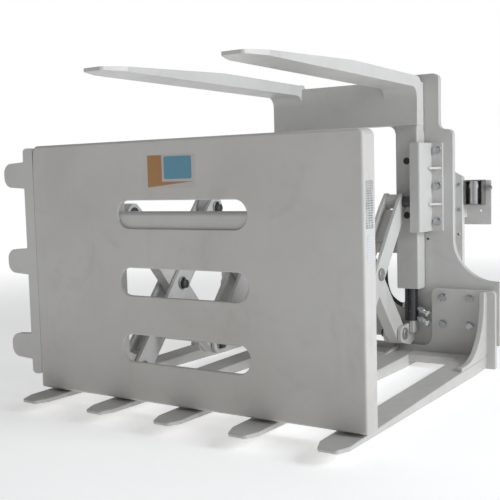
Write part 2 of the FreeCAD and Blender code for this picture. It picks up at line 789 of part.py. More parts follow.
def pin(y, z, inner=None, outer=None):
    """A scissor pin with a head outside and a cap inside."""
    inner = inner or "pair_inner"
    outer = outer or pair_outer
    shaft = rod("x", "pin_radius", (inner + " - 6", outer + " + 6"), (y, z))
    cap = rod("x", "pin_radius + 3", (inner + " - 6.3", inner + " - 0.3"), (y, z))
    head = rod("x", "pin_radius + 3", (outer + " + 0.3", outer + " + 8"), (y, z))
    return fuse(shaft, cap, head)


upper_mid = (centre_rear + " - %s / 4" % stroke, "pivot_height + %s" % rise)
lower_mid = (centre_rear + " - %s / 4" % stroke, "pivot_height")
lug_inner = "(%s - 16)" % core_inner
lug_outer = "(%s + 16)" % core_outer
keep(both(pin("pivot_back", "pivot_height", lug_inner, lug_outer), "pair_shift"), "rear_foot_pins")
keep(both(pin(centre_rear, middle_height), "pair_shift"), "rear_centre_pins")
keep(both(pin(*upper_mid), "pair_shift"), "upper_middle_pins")
keep(both(pin(*lower_mid), "pair_shift"), "lower_middle_pins")
keep(both(pin(centre_front, middle_height), "pair_shift"), "front_centre_pins")
keep(both(pin(front_pivot, "pivot_height"), "pair_shift"), "front_foot_pins")


def roller_shaft(y, start):
    """A shaft through the arm, with a smaller end for the roller."""
    height = "pivot_height + %s" % rise
    shaft = rod("x", "pin_radius", (start, "track_inner - 2"), (y, height))
    stub = rod("x", "12", ("track_inner - 2", web_inner + " - 2"), (y, height))
    return fuse(shaft, stub)


def roller(y):
    height = "pivot_height + %s" % rise
    span = ("track_inner + 1", "track_inner + 1 + roller_width")
    wheel = rod("x", "roller_radius", span, (y, height))
    return cut(wheel, rod("x", "12 + run_play", span, (y, height)))


def roller_shafts(y, start):
    """The right shaft is longer, because the right arms stand further from their track."""
    left = roller_shaft(y, start + " - pair_shift")
    return group(roller_shaft(y, start), mirror(left, track_middle))


keep(roller_shafts("pivot_back", "pair_inner - 4"), "rear_roller_shafts")
keep(roller_shafts(front_pivot, core_inner + " - 4"), "front_roller_shafts")
rear_roller = roller("pivot_back")
front_roller = roller(front_pivot)
keep(both(rear_roller, track_middle), "rear_rollers")
keep(both(front_roller, track_middle), "front_rollers")

# lugs that hold the fixed lower pins
lug_profile = [
    ("pivot_back - link_half", "pivot_height - 28"),
    (plate_front + " - 20", "platen_sill + 3"),
    (main_front, "platen_sill + 17"),
    (main_front, "pivot_height + 37"),
    ("pivot_back - link_half", "pivot_height + 28"),
]
lug_hole = [("pivot_back", "pivot_height", tight)]
lugs = []
for start in (lug_inner, core_outer + " + 2"):
    lugs.append(pad("YZ", lug_profile, (start, start + " + 14"), holes=lug_hole, rounds=[((0, 4), "20")]))
keep(both(group(*lugs), "pair_shift"), "rear_foot_lugs")
front_lug_profile = [
    (face_back, "face_bottom + 30"),
    (front_pivot + " + link_half - 8", "pivot_height - 24"),
    (front_pivot + " + link_half - 8", "pivot_height + 24"),
    (face_back, "pivot_height + 70"),
]
front_lug = pad(
    "YZ",
    front_lug_profile,
    (core_inner + " + 1", core_outer + " - 1"),
    holes=[(front_pivot, "pivot_height", tight)],
    rounds=[((1, 2), "20")],
)
keep(both(front_lug, "pair_shift"), "front_foot_lugs")

# ---- push cylinders between the two rear cross tubes ----
ram_y = "(%s - ram_station * cos(link_angle * 1deg))" % centre_rear
ram_drop = "(ram_station * sin(link_angle * 1deg))"
ram_low = "(%s - %s)" % (middle_height, ram_drop)
ram_high = "(%s + %s)" % (middle_height, ram_drop)
eye_hole = "tie_radius + run_play"
eye_span = ("ram_spread - 24", "ram_spread + 24")
eye_clear = ("ram_spread - ram_radius - 2", "ram_spread + ram_radius + 2")


def ram_barrel():
    eye = rod("x", "ram_eye", eye_span, (ram_y, ram_low))
    tube = rod("z", "ram_radius", (ram_low + " + 12", ram_low + " + ram_length"), ("ram_spread", ram_y))
    bore = rod("z", "ram_bore", (ram_low + " + 45", ram_low + " + ram_length - 15"), ("ram_spread", ram_y))
    throat_span = (ram_low + " + 50", ram_low + " + ram_length + 1")
    throat = rod("z", "ram_rod + run_play", throat_span, ("ram_spread", ram_y))
    return cut(fuse(eye, tube), bore, throat, rod("x", eye_hole, eye_clear, (ram_y, ram_low)))


def ram_piston():
    eye = rod("x", "ram_eye", eye_span, (ram_y, ram_high))
    bar = rod("z", "ram_rod", (ram_high + " - rod_length", ram_high + " - 12"), ("ram_spread", ram_y))
    piston_span = (ram_high + " - rod_length", ram_high + " - rod_length + 15")
    head = rod("z", "ram_bore - run_play", piston_span, ("ram_spread", ram_y))
    return cut(fuse(eye, bar, head), rod("x", eye_hole, eye_clear, (ram_y, ram_high)))


keep(both(ram_barrel(), "pair_shift"), "push_barrels")
keep(both(ram_piston(), "pair_shift"), "push_rods")

# ---- clamp carriage: two channel legs, a cross member and two arms ----
leg_back = "(leg_front + leg_depth)"
sides = [
    ("right", "(carriage_shift + leg_spread)", False),
    ("left", "(leg_spread - carriage_shift)", True),
]


def placed(thing, mirrored):
    return mirror(thing) if mirrored else thing


shank_front = "(leg_front - shank_depth)"
jack_y = "(leg_front + 38)"
shoe_heights = ("610", "830")
shoes = []
pads = []
jack_rods = []
jack_barrels = []
jack_glands = []
jack_feet = []
for side, middle, mirrored in sides:
    left = "(%s - leg_width / 2)" % middle
    right = "(%s + leg_width / 2)" % middle
    channel = [
        (left, leg_back),
        (left, "leg_front"),
        (right, "leg_front"),
        (right, leg_back),
        (right + " - leg_wall", leg_back),
        (right + " - leg_wall", "leg_front + leg_wall"),
        (left + " + leg_wall", "leg_front + leg_wall"),
        (left + " + leg_wall", leg_back),
    ]
    leg = pad("XY", channel, ("leg_low", "leg_high"))
    through = ("leg_front - 1", "leg_front + leg_wall + 1")
    holes = [rod("y", "leg_hole", through, (middle, z)) for z in ("leg_hole_low", "leg_hole_high")]
    lug_x = (left + " + leg_wall", right + " - leg_wall")
    rod_lug = box(lug_x, ("leg_front + leg_wall", leg_back), ("rod_end", "rod_end + 20"))
    keep(placed(fuse(cut(leg, *holes), rod_lug), mirrored), "leg_" + side)

    profile = [
        ("-arm_reach", "arm_under"),
        (shank_front, "arm_under"),
        (shank_front, "shank_low"),
        ("leg_front", "shank_low"),
        ("leg_front", "arm_top"),
        ("-(arm_reach - arm_taper)", "arm_top"),
        ("-arm_reach + 40", "arm_under + arm_tip"),
        ("-arm_reach", "arm_under + arm_tip - 2"),
    ]
    arm_side = pad(
        "YZ",
        profile,
        (middle + " - arm_width / 2", middle + " + arm_width / 2"),
        rounds=[((1,), "40"), ((4,), "58")],
    )
    plan = [
        (middle + " - arm_width / 2", "leg_front + 1"),
        (middle + " - arm_width / 2", "-arm_reach + 85"),
        (middle + " - arm_width / 2 + 32", "-arm_reach"),
        (middle + " + arm_width / 2 - 32", "-arm_reach"),
        (middle + " + arm_width / 2", "-arm_reach + 85"),
        (middle + " + arm_width / 2", "leg_front + 1"),
    ]
    arm_plan = pad("XY", plan, ("shank_low - 5", "arm_top + 5"), rounds=[((1, 2, 3, 4), "14")])
    keep(placed(common(arm_side, arm_plan), mirrored), "arm_" + side)

    for height in shoe_heights:
        heights = (height, height + " + shoe_height")
        plan = [
            (left, leg_back),
            (left + " + leg_wall + 4", leg_back),
            (left + " + leg_wall + 4", main_back + " + 3"),
            (right, main_back + " + 3"),
            (right, main_back + " + 17"),
            (left, main_back + " + 17"),
        ]
        shoes.append(placed(pad("XY", plan, heights), mirrored))
        pad_x = (left + " + leg_wall + 12", right)
        back_pad = box(pad_x, (main_back + " + 0.3", main_back + " + 3"), heights)
        front_pad = box((right + " - leg_wall", right), (leg_back, main_front + " - 0.3"), heights)
        pads += [placed(back_pad, mirrored), placed(front_pad, mirrored)]

    span = ("jack_base", "jack_top")
    centre = (middle, jack_y)
    barrel = cut(
        rod("z", "jack_radius", span, centre),
        rod("z", "jack_bore", ("jack_base + 15", "jack_top + 1"), centre),
    )
    jack_barrels.append(placed(barrel, mirrored))
    gland = fuse(
        rod("z", "jack_bore", ("jack_top - 24", "jack_top + 1"), centre),
        rod("z", "jack_radius", ("jack_top", "jack_top + 8"), centre),
    )
    bore = rod("z", "jack_rod + run_play", ("jack_top - 30", "jack_top + 10"), centre)
    jack_glands.append(placed(cut(gland, bore), mirrored))
    piston = rod("z", "jack_bore - run_play", ("jack_base + 85", "jack_base + 110"), centre)
    rod_bar = rod("z", "jack_rod", ("jack_base + 85", "rod_end"), centre)
    jack_rods.append(placed(fuse(rod_bar, piston), mirrored))
    foot_x = (lug_outer + " + 1.5", middle + " + 18")
    if mirrored:
        foot_x = (middle + " - 8", middle + " + 33")
    foot = box(foot_x, (jack_y + " - 26", main_front), ("jack_base - 48", "jack_base"))
    jack_feet.append(placed(foot, mirrored))

keep(group(*shoes), "guide_shoes")
keep(group(*pads), "wear_pads")
keep(group(*jack_barrels), "clamp_barrels")
keep(group(*jack_glands), "clamp_glands")
keep(group(*jack_rods), "clamp_rods")
keep(group(*jack_feet), "clamp_feet")

member_x = (
    "carriage_shift - leg_spread + arm_width / 2",
    "carriage_shift + leg_spread - arm_width / 2",
)
hollow_x = (member_x[0] + " + 10", member_x[1] + " - 10")
member = box(member_x, (shank_front, "leg_front"), ("shank_low", "leg_high"))
hollow = box(hollow_x, (shank_front + " + 10", "leg_front - 10"), ("shank_low + 10", "leg_high - 10"))
keep(cut(member, hollow), "carriage_cross_member")

# ---- valve housing on the right side member ----
panel_front = "(%s + 32)" % bar_back
spool_y = panel_front + " - 27.5"
spacer = box(("440", "482"), (bar_back, panel_front), ("575", "700"))
panel_outline = [
    ("440", "panel_low"),
    ("panel_right", "panel_low"),
    ("panel_right", "panel_high"),
    ("440", "panel_high"),
]
panel = pad(
    "XZ",
    panel_outline,
    (panel_front, panel_front + " + 6"),
    holes=[("537", "600", "4")],
    rounds=[((1, 2), "5")],
)
keep(fuse(panel, spacer), "housing_panel")
shell_top = "(panel_high + 2)"
shell = cut(
    box(("486", "556"), (panel_front + " - 46", panel_front), ("624", shell_top)),
    box(("490", "552"), (panel_front + " - 47", panel_front + " - 4"), ("628", shell_top + " - 4")),
)
keep(shell, "housing_box")
spool = rod("z", "20", ("628", shell_top + " - 4"), ("521", spool_y))
collar = rod("z", "23", ("690", "705"), ("521", spool_y))
keep(fuse(spool, collar), "valve_body")

# ---- clamp cylinder ports and hose ----


def slanted(radius, length, start, angle, sides=0):
    """A bar or hexagon leaning down to the right from a start point."""
    kind = "Part::Prism" if sides else "Part::Cylinder"
    bar = doc.addObject(kind, "Slanted")
    if sides:
        bar.Polygon = sides
    bind(bar, "Circumradius" if sides else "Radius", radius)
    bind(bar, "Height", length)
    bar.Placement.Rotation = FreeCAD.Rotation(FreeCAD.Vector(0, 1, 0), 90 + angle)
    for letter, place in zip("xyz", start):
        bind(bar, "Placement.Base." + letter, place)
    return bar


# along the port, radius, length, sides
port_pieces = ((0, 8, 30, 0), (14, 14, 14, 6), (26, 10, 24, 0), (44, 13, 10, 6))
fittings = []
for middle in ("(carriage_shift + leg_spread)", "(carriage_shift - leg_spread)"):
    solid_barrel = rod("z", "jack_radius", ("jack_base", "jack_top"), (middle, jack_y))
    for height in ("jack_base + 52", "jack_base + 14"):
        pieces = []
        for along, radius, length, corners in port_pieces:
            x = "%s + jack_radius - 3 + %d * cos(port_slope * 1deg)" % (middle, along)
            z = "%s - %d * sin(port_slope * 1deg)" % (height, along)
            start = (x, jack_y, z)
            pieces.append(slanted(str(radius), str(length), start, number("port_slope"), corners))
        fittings.append(cut(fuse(*pieces), solid_barrel))


def bent_tube(radius, points):
    """A hose: straight runs joined by tangent arcs, swept with a round section."""
    points = [FreeCAD.Vector(*point) for point in points]
    edges = []
    start = points[0]
    for before, corner, after in zip(points[:-2], points[1:-1], points[2:]):
        inward = (before - corner).normalize()
        outward = (after - corner).normalize()
        turn = math.pi - inward.getAngle(outward)
        trim = 0.45 * min((before - corner).Length, (after - corner).Length)
        bend = trim / math.tan(turn / 2)
        print("bend radius %.0f mm, turn %.0f degrees" % (bend, math.degrees(turn)))
        first = corner + inward * trim
        last = corner + outward * trim
        bisector = (inward + outward).normalize()
        centre = corner + bisector * math.hypot(bend, trim)
        middle = centre - bisector * bend
        edges.append(Part.LineSegment(start, first).toShape())
        edges.append(Part.Arc(first, middle, last).toShape())
        start = last
    edges.append(Part.LineSegment(start, points[-1]).toShape())
    path = Part.Wire(edges)
    direction = (points[1] - points[0]).normalize()
    section = Part.Wire(Part.Circle(points[0], direction, radius).toShape())
    swept = path.makePipeShell([section], True, False)
    even_volume = math.pi * radius**2 * path.Length
    print("hose volume over section times length %.4f" % (swept.Volume / even_volume))
    print("hose length %.0f mm" % path.Length)
    hose = doc.addObject("Part::Feature", "Hose")
    hose.Shape = swept
    return hose


hose_radius = number("hose_radius")
port_height = number("jack_base") + 54
bar_under = number(upper_low)
right_leg = number("carriage_shift + leg_spread")
hose_points = [
    (158, 57, bar_under - 16),
    (160, 42, 346),
    (178, 13, 288),
    (213, -13, port_height + 21),
    (right_leg - number("jack_radius") - 8, number("leg_front + 38"), port_height),
]
hose = bent_tube(hose_radius, hose_points)
right_middle = "(carriage_shift + leg_spread)"
right_barrel = rod("z", "jack_radius", ("jack_base", "jack_top"), (right_middle, jack_y))
port_span = (right_middle + " - jack_radius - 8", right_middle)
port = cut(rod("x", "hose_radius + 3", port_span, (jack_y, "jack_base + 54")), right_barrel)
upper_port = rod("z", "hose_radius + 3", ("hook_line - 62", upper_low), ("158", "57"))
keep(cut(hose, port, upper_port), "clamp_hose")
keep(group(*fittings, port, upper_port), "clamp_fittings")

doc.recompute()
failed = [thing.Label for thing in doc.Objects if set(thing.State) & {"Invalid", "Error"}]
assert not failed, failed
for thing in nodes:
    shape = thing.Shape
    assert not shape.isNull() and shape.isValid() and shape.Volume > 0, thing.Label
    shape.exportStep("parts/%s.step" % thing.Label)
    print(thing.Label, len(shape.Solids), round(shape.Volume / 1000), "cm3")
print(len(nodes), "nodes")
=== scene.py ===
import json
import math

import bmesh
import bpy
from mathutils import Matrix, Vector

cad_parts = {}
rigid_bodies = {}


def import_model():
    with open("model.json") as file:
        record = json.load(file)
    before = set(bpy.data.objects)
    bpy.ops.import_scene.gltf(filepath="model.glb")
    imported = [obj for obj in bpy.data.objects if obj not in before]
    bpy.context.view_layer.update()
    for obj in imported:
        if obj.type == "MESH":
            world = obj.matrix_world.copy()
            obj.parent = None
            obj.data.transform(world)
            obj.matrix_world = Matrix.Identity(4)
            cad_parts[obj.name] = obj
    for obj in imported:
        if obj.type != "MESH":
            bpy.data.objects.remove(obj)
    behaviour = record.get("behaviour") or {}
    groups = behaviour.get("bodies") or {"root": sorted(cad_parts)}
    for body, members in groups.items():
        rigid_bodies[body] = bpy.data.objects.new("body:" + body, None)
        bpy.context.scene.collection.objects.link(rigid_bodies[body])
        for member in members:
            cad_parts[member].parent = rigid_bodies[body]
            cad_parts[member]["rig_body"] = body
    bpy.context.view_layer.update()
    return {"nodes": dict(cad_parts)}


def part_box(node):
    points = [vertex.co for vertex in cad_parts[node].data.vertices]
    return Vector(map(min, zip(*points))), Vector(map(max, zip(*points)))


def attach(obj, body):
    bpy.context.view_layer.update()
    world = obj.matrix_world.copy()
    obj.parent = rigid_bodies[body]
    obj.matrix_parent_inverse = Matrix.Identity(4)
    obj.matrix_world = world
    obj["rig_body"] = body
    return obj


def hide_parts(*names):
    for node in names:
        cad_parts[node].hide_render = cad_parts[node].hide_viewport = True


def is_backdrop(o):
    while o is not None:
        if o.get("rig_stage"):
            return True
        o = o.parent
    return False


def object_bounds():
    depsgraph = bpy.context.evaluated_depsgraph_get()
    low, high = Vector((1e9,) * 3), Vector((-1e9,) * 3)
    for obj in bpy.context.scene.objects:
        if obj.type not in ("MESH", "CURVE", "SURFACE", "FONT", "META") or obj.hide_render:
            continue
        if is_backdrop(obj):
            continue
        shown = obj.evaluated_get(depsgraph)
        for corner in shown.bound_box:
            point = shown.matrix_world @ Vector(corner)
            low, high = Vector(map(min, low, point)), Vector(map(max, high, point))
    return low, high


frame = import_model()
cadNodes = frame["nodes"]
xAxis, yAxis, zAxis = Vector((1, 0, 0)), Vector((0, 1, 0)), Vector((0, 0, 1))


# camera: set up first, since everything is judged through it
cameraSetup = {
    "place": (1.5136, -3.173, 0.754),
    "forward": (-0.528, 0.845, -0.0861),
    "up": (-0.0234, 0.0869, 0.9959),
    "lens": 60.6,
}
lens = bpy.data.cameras.new("studioCamera")
lens.lens = cameraSetup["lens"]
lens.sensor_width = 36
camera = bpy.data.objects.new("studioCamera", lens)
back = -Vector(cameraSetup["forward"]).normalized()
right = Vector(cameraSetup["up"]).cross(back).normalized()
upward = back.cross(right)
camera.matrix_world = Matrix.Translation(cameraSetup["place"]) @ Matrix((right, upward, back)).transposed().to_4x4()
bpy.context.scene.collection.objects.link(camera)
bpy.context.scene.camera = camera
print("camera ready")


# shader sums: one class wraps a socket, one method makes any node

class Wire:
    def __init__(self, shader, socket):
        self.shader = shader
        self.socket = socket

    def maths(self, operation, first, second):
        return self.shader.node("Math", {"operation": operation}, {0: first, 1: second})

    def __add__(self, other):
        return self.maths("ADD", self, other)

    def __sub__(self, other):
        return self.maths("SUBTRACT", self, other)

    def __rsub__(self, other):
        return self.maths("SUBTRACT", other, self)

    def __mul__(self, other):
        return self.maths("MULTIPLY", self, other)

    def __gt__(self, other):
        return self.maths("GREATER_THAN", self, other)

    __radd__ = __add__
    __rmul__ = __mul__


class Shader:
    def __init__(self, name):
        self.material = bpy.data.materials.new(name)
        self.material.use_nodes = True
        self.tree = self.material.node_tree
        self.surface = self.tree.nodes["Principled BSDF"]
        self.place = self.node("TexCoord", output="Object")

    def node(self, kind, settings=None, inputs=None, output=0):
        made = self.tree.nodes.new("ShaderNode" + kind)
        for key, value in (settings or {}).items():
            if key == "stops":
                ramp = made.color_ramp
                while len(ramp.elements) < len(value):
                    ramp.elements.new(0.5)
                for element, (position, colour) in zip(ramp.elements, value):
                    element.position = position
                    element.color = (*colour, 1) if len(colour) == 3 else colour
            else:
                setattr(made, key, value)
        for key, value in (inputs or {}).items():
            self.feed(made.inputs[key], value)
        return Wire(self, made.outputs[output])

    def feed(self, socket, value):
        if isinstance(value, Wire):
            self.tree.links.new(value.socket, socket)
        elif socket.type == "RGBA" and len(value) == 3:
            socket.default_value = (*value, 1)
        else:
            socket.default_value = value

    def finish(self, **sockets):
        for name, value in sockets.items():
            words = "".join(" " + c if c.isupper() else c for c in name).title().strip()
            self.feed(self.surface.inputs[words.replace("Ior", "IOR")], value)
        return self.material

    def blend(self, factor, first, second, kind="MIX"):
        settings = {"data_type": "RGBA", "blend_type": kind}
        return self.node("Mix", settings, {0: factor, 6: first, 7: second}, output=2)

    def noise(self, scale, detail=3.0, rough=0.5, twist=0.0, place=None):
        inputs = {"Vector": place or self.place, "Scale": scale, "Detail": detail, "Roughness": rough,
                  "Distortion": twist}
        return self.node("TexNoise", None, inputs)

    def ramp(self, factor, low, high):
        # a soft step from 0 at low to 1 at high
        return self.node("MapRange", {"interpolation_type": "SMOOTHSTEP"}, {0: factor, 1: low, 2: high})

    def stretched(self, scale):
        return self.node("Mapping", None, {"Vector": self.place, "Scale": scale})

    def height(self):
        return self.node("SeparateXYZ", None, {0: self.place}, output="Z")

    def relief(self, height, strength, distance=0.001):
        return self.node("Bump", None, {"Height": height, "Strength": strength, "Distance": distance})


paintLook = {
    "tone": (0.645, 0.643, 0.632),
    "shade": (0.585, 0.577, 0.558),
    "dust": (0.43, 0.40, 0.36),
    "chip": (0.30, 0.29, 0.28),
    "roughness": 0.36,
}


def machinePaint(name, tone, shade, grime=1.0):
    made = Shader(name)
    clouds = made.noise(2.6, 4, 0.55, 0.4)
    blots = made.ramp(made.noise(6.5, 6, 0.6, 0.9), 0.52, 0.74)
    streaks = made.ramp(made.noise(1.0, 5, 0.6, 0.0, made.stretched((22, 22, 2.2))), 0.55, 0.8)
    low = 1 - made.ramp(made.height(), 0.0, 0.42)
    dusty = (blots * 0.20 + streaks * 0.10 + low * made.noise(14, 6, 0.65) * 0.30) * grime
    specks = made.ramp(made.noise(310, 2, 0.5), 0.735, 0.76) * made.ramp(made.noise(5, 3), 0.5, 0.62)
    colour = made.blend(made.ramp(clouds, 0.3, 0.7), tone, shade)
    colour = made.blend(dusty, colour, paintLook["dust"])
    colour = made.blend(specks * 0.45, colour, paintLook["chip"])
    peel = made.noise(420, 2, 0.4)
    sag = made.noise(38, 3, 0.5)
    rough = made.ramp(made.noise(24, 5, 0.6), 0.2, 0.8) * 0.12 + dusty * 0.5 + paintLook["roughness"]
    bump = made.relief(peel * 0.45 + sag * 0.8 - specks * 0.8, 0.22, 0.0006)
    return made.finish(baseColor=colour, roughness=rough, normal=bump, coatWeight=0.18, coatRoughness=0.22)


def glossyPaint(name, tone, dust):
    made = Shader(name)
    worn = made.ramp(made.noise(30, 6, 0.65, 0.5), 0.55, 0.8)
    colour = made.blend(worn * 0.5, tone, dust)
    rough = worn * 0.35 + made.noise(120, 3) * 0.1 + 0.2
    bump = made.relief(made.noise(380, 2) * 0.5 + made.noise(45, 3), 0.2, 0.0006)
    return made.finish(baseColor=colour, roughness=rough, normal=bump, coatWeight=0.3, coatRoughness=0.1)


def platedSteel(name, tone, stain, roughness=0.34, lines=(9, 9, 260), metallic=1.0):
    made = Shader(name)
    grain = made.noise(3.0, 4, 0.7, 0.0, made.stretched(lines))
    patches = made.ramp(made.noise(34, 5, 0.6, 0.6), 0.42, 0.72)
    colour = made.blend(patches * 0.6, tone, stain)
    colour = made.blend(grain * 0.25, colour, tuple(0.55 * c for c in tone))
    rough = grain * 0.18 + patches * 0.16 + roughness - 0.08
    bump = made.relief(grain + made.noise(160, 3) * 0.5, 0.22, 0.0005)
    return made.finish(baseColor=colour, roughness=rough, metallic=metallic, normal=bump)


def braidedRubber(name, pitch=0.0042):
    # crossed cover threads from the hose's own object coordinates
    made = Shader(name)
    weave = made.node("TexVoronoi", None, {"Vector": made.place, "Scale": 0.9 / pitch})
    dust = made.ramp(made.noise(60, 5, 0.6), 0.45, 0.75)
    colour = made.blend(dust * 0.5, (0.022, 0.022, 0.023), (0.085, 0.08, 0.074))
    bump = made.relief(weave + made.noise(700, 2) * 0.3, 0.5, 0.0006)
    return made.finish(baseColor=colour, roughness=made.noise(80, 3) * 0.25 + 0.5, normal=bump)


def mouldedPlastic(name, tone, stain):
    made = Shader(name)
    scuffs = made.ramp(made.noise(1.2, 5, 0.65, 0.0, made.stretched((70, 70, 6))), 0.5, 0.8)
    colour = made.blend(scuffs * 0.6, tone, stain)
    bump = made.relief(scuffs + made.noise(420, 2) * 0.4, 0.3, 0.0006)
    return made.finish(baseColor=colour, roughness=scuffs * 0.2 + 0.45, normal=bump)


def printedFilm(name, tone, ink=None, fade=0.25, lines=26.0):
    # a sticker: thin print on film, a little faded and scuffed
    made = Shader(name)
    fading = made.noise(40, 5, 0.6)
    scuffs = made.ramp(made.noise(130, 4, 0.7), 0.62, 0.72)
    colour = made.blend(fading * fade, tone, tuple(0.6 * c + 0.25 for c in tone))
    if ink:
        bars = made.node("TexWave", {"bands_direction": "Z"}, {"Vector": made.place, "Scale": lines})
        breaks = made.noise(1.0, 1, 0.5, 0.0, made.stretched((150, 150, 30)))
        colour = made.blend((made.ramp(bars, 0.62, 0.7) * (breaks > 0.44)) * 0.8, colour, ink)
    colour = made.blend(scuffs * 0.4, colour, (0.6, 0.59, 0.56))
    bump = made.relief(scuffs + fading * 0.3, 0.15, 0.0003)
    return made.finish(baseColor=colour, roughness=scuffs * 0.3 + 0.3, normal=bump, coatWeight=0.3)


finishes = {
    "paint": machinePaint("satinPaint", paintLook["tone"], paintLook["shade"]),
    "pusherPaint": machinePaint("pusherPaint", (0.612, 0.604, 0.585), (0.558, 0.545, 0.520), 1.25),
    "blackPaint": glossyPaint("cylinderPaint", (0.018, 0.018, 0.021), (0.10, 0.095, 0.09)),
    "zinc": platedSteel("zincPlate", (0.62, 0.63, 0.64), (0.46, 0.46, 0.45), 0.38, (60, 60, 60)),
    "agedSteel": platedSteel("agedSteel", (0.40, 0.39, 0.37), (0.24, 0.225, 0.205), 0.5, (25, 25, 25), 0.75),
    "bareSteel": platedSteel("bareSteel", (0.42, 0.41, 0.39), (0.27, 0.25, 0.23), 0.42),
    "darkSteel": platedSteel("blackenedSteel", (0.14, 0.14, 0.15), (0.07, 0.07, 0.075), 0.45, (90, 90, 90)),
    "chrome": platedSteel("hardChrome", (0.80, 0.80, 0.82), (0.66, 0.66, 0.67), 0.16, (4, 4, 300)),
    "rubber": braidedRubber("hoseRubber"),
    "nylon": mouldedPlastic("wearPadNylon", (0.72, 0.69, 0.60), (0.48, 0.44, 0.37)),
    "blackPlastic": mouldedPlastic("capPlastic", (0.03, 0.03, 0.03), (0.12, 0.115, 0.11)),
    "boltZinc": platedSteel("boltZinc", (0.55, 0.57, 0.59), (0.36, 0.37, 0.38), 0.27, (60, 60, 60)),
    "brightZinc": platedSteel("brightZinc", (0.74, 0.76, 0.78), (0.52, 0.53, 0.54), 0.22, (60, 60, 60)),
    "filmLight": printedFilm("filmLight", (0.55, 0.53, 0.52)),
    "filmOrange": printedFilm("filmOrange", (0.42, 0.20, 0.055)),
    "filmBlue": printedFilm("filmBlue", (0.10, 0.30, 0.42)),
    "filmPlate": printedFilm("filmPlate", (0.46, 0.46, 0.46), (0.07, 0.07, 0.08), 0.2, 48.0),
    "filmOval": printedFilm("filmOval", (0.60, 0.61, 0.63), (0.44, 0.49, 0.58), 0.2, 44.0),
}
print("materials ready", len(finishes))


# making pieces

def toObject(shape, name, body, finish, smoothAngle=35, replaced=()):
    bmesh.ops.remove_doubles(shape, verts=shape.verts, dist=1e-6)
    bmesh.ops.recalc_face_normals(shape, faces=shape.faces)
    mesh = bpy.data.meshes.new(name)
    shape.to_mesh(mesh)
    shape.free()
    mesh.shade_smooth()
    mesh.set_sharp_from_angle(angle=math.radians(smoothAngle))
    made = bpy.data.objects.new(name, mesh)
    bpy.context.scene.collection.objects.link(made)
    mesh.materials.append(finishes[finish])
    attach(made, body)
    if replaced:
        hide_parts(*replaced)
    return made


def sharpEdges(shape, degrees=32):
    limit = math.radians(degrees)
    return [e for e in shape.edges if len(e.link_faces) == 2 and e.calc_face_angle(0) > limit]


def soften(shape, edges, width, segments=2):
    if edges:
        bmesh.ops.bevel(shape, geom=edges, offset=width, offset_type="OFFSET", affect="EDGES",
                        segments=segments, profile=0.5, clamp_overlap=True, material=-1)


def newVerts(grown):
    return [g for g in grown["geom"] if isinstance(g, bmesh.types.BMVert)]


def cadCopy(*names):
    shape = bmesh.new()
    for name in names:
        shape.from_mesh(cadNodes[name].data)
    bmesh.ops.remove_doubles(shape, verts=shape.verts, dist=2e-5)
    bmesh.ops.dissolve_limit(shape, angle_limit=math.radians(0.4), verts=shape.verts, edges=shape.edges)
    return shape


def weighted(made):
    levelling = made.modifiers.new("levelNormals", "WEIGHTED_NORMAL")
    levelling.keep_sharp = True
    levelling.weight = 80
    return made


def turned(shape, profile, start, direction, steps=24):
    # spins (along, radius) pairs round a line, closed at both ends
    before = set(shape.verts)
    ring = [shape.verts.new((r, 0, a)) for a, r in profile]
    edges = [shape.edges.new(pair) for pair in zip(ring[:-1], ring[1:])]
    bmesh.ops.spin(shape, geom=ring + edges, cent=(0, 0, 0), axis=zAxis, angle=2 * math.pi, steps=steps,
                   use_merge=True)
    added = [v for v in shape.verts if v not in before]
    bmesh.ops.remove_doubles(shape, verts=added, dist=1e-6)
    added = [v for v in shape.verts if v not in before]
    turn = Vector(direction).to_track_quat("Z", "Y").to_matrix().to_4x4()
    bmesh.ops.transform(shape, matrix=Matrix.Translation(start) @ turn, verts=added)
    return added


def prism(shape, sides, radius, length, start, direction, chamfer=0.0, spinBy=0.0):
    before = set(shape.verts)
    bmesh.ops.create_cone(shape, cap_ends=True, segments=sides, radius1=radius, radius2=radius, depth=length)
    added = [v for v in shape.verts if v not in before]
    bmesh.ops.translate(shape, verts=added, vec=(0, 0, length / 2))
    if chamfer:
        tops = [f for f in shape.faces if f.verts[0] in added and f.normal.z > 0.9
                and f.calc_center_median().z > length * 0.9]
        bmesh.ops.inset_region(shape, faces=tops, thickness=chamfer, depth=chamfer * 0.5)
        added = [v for v in shape.verts if v not in before]
    turn = Vector(direction).to_track_quat("Z", "Y").to_matrix().to_4x4()
    place = Matrix.Translation(start) @ turn @ Matrix.Rotation(spinBy, 4, "Z")
    bmesh.ops.transform(shape, matrix=place, verts=added)
    return added


def block(shape, low, high):
    before = set(shape.verts)
    bmesh.ops.create_cube(shape, size=1)
    added = [v for v in shape.verts if v not in before]
    low, high = Vector(low), Vector(high)
    bmesh.ops.scale(shape, verts=added, vec=high - low)
    bmesh.ops.translate(shape, verts=added, vec=(low + high) / 2)


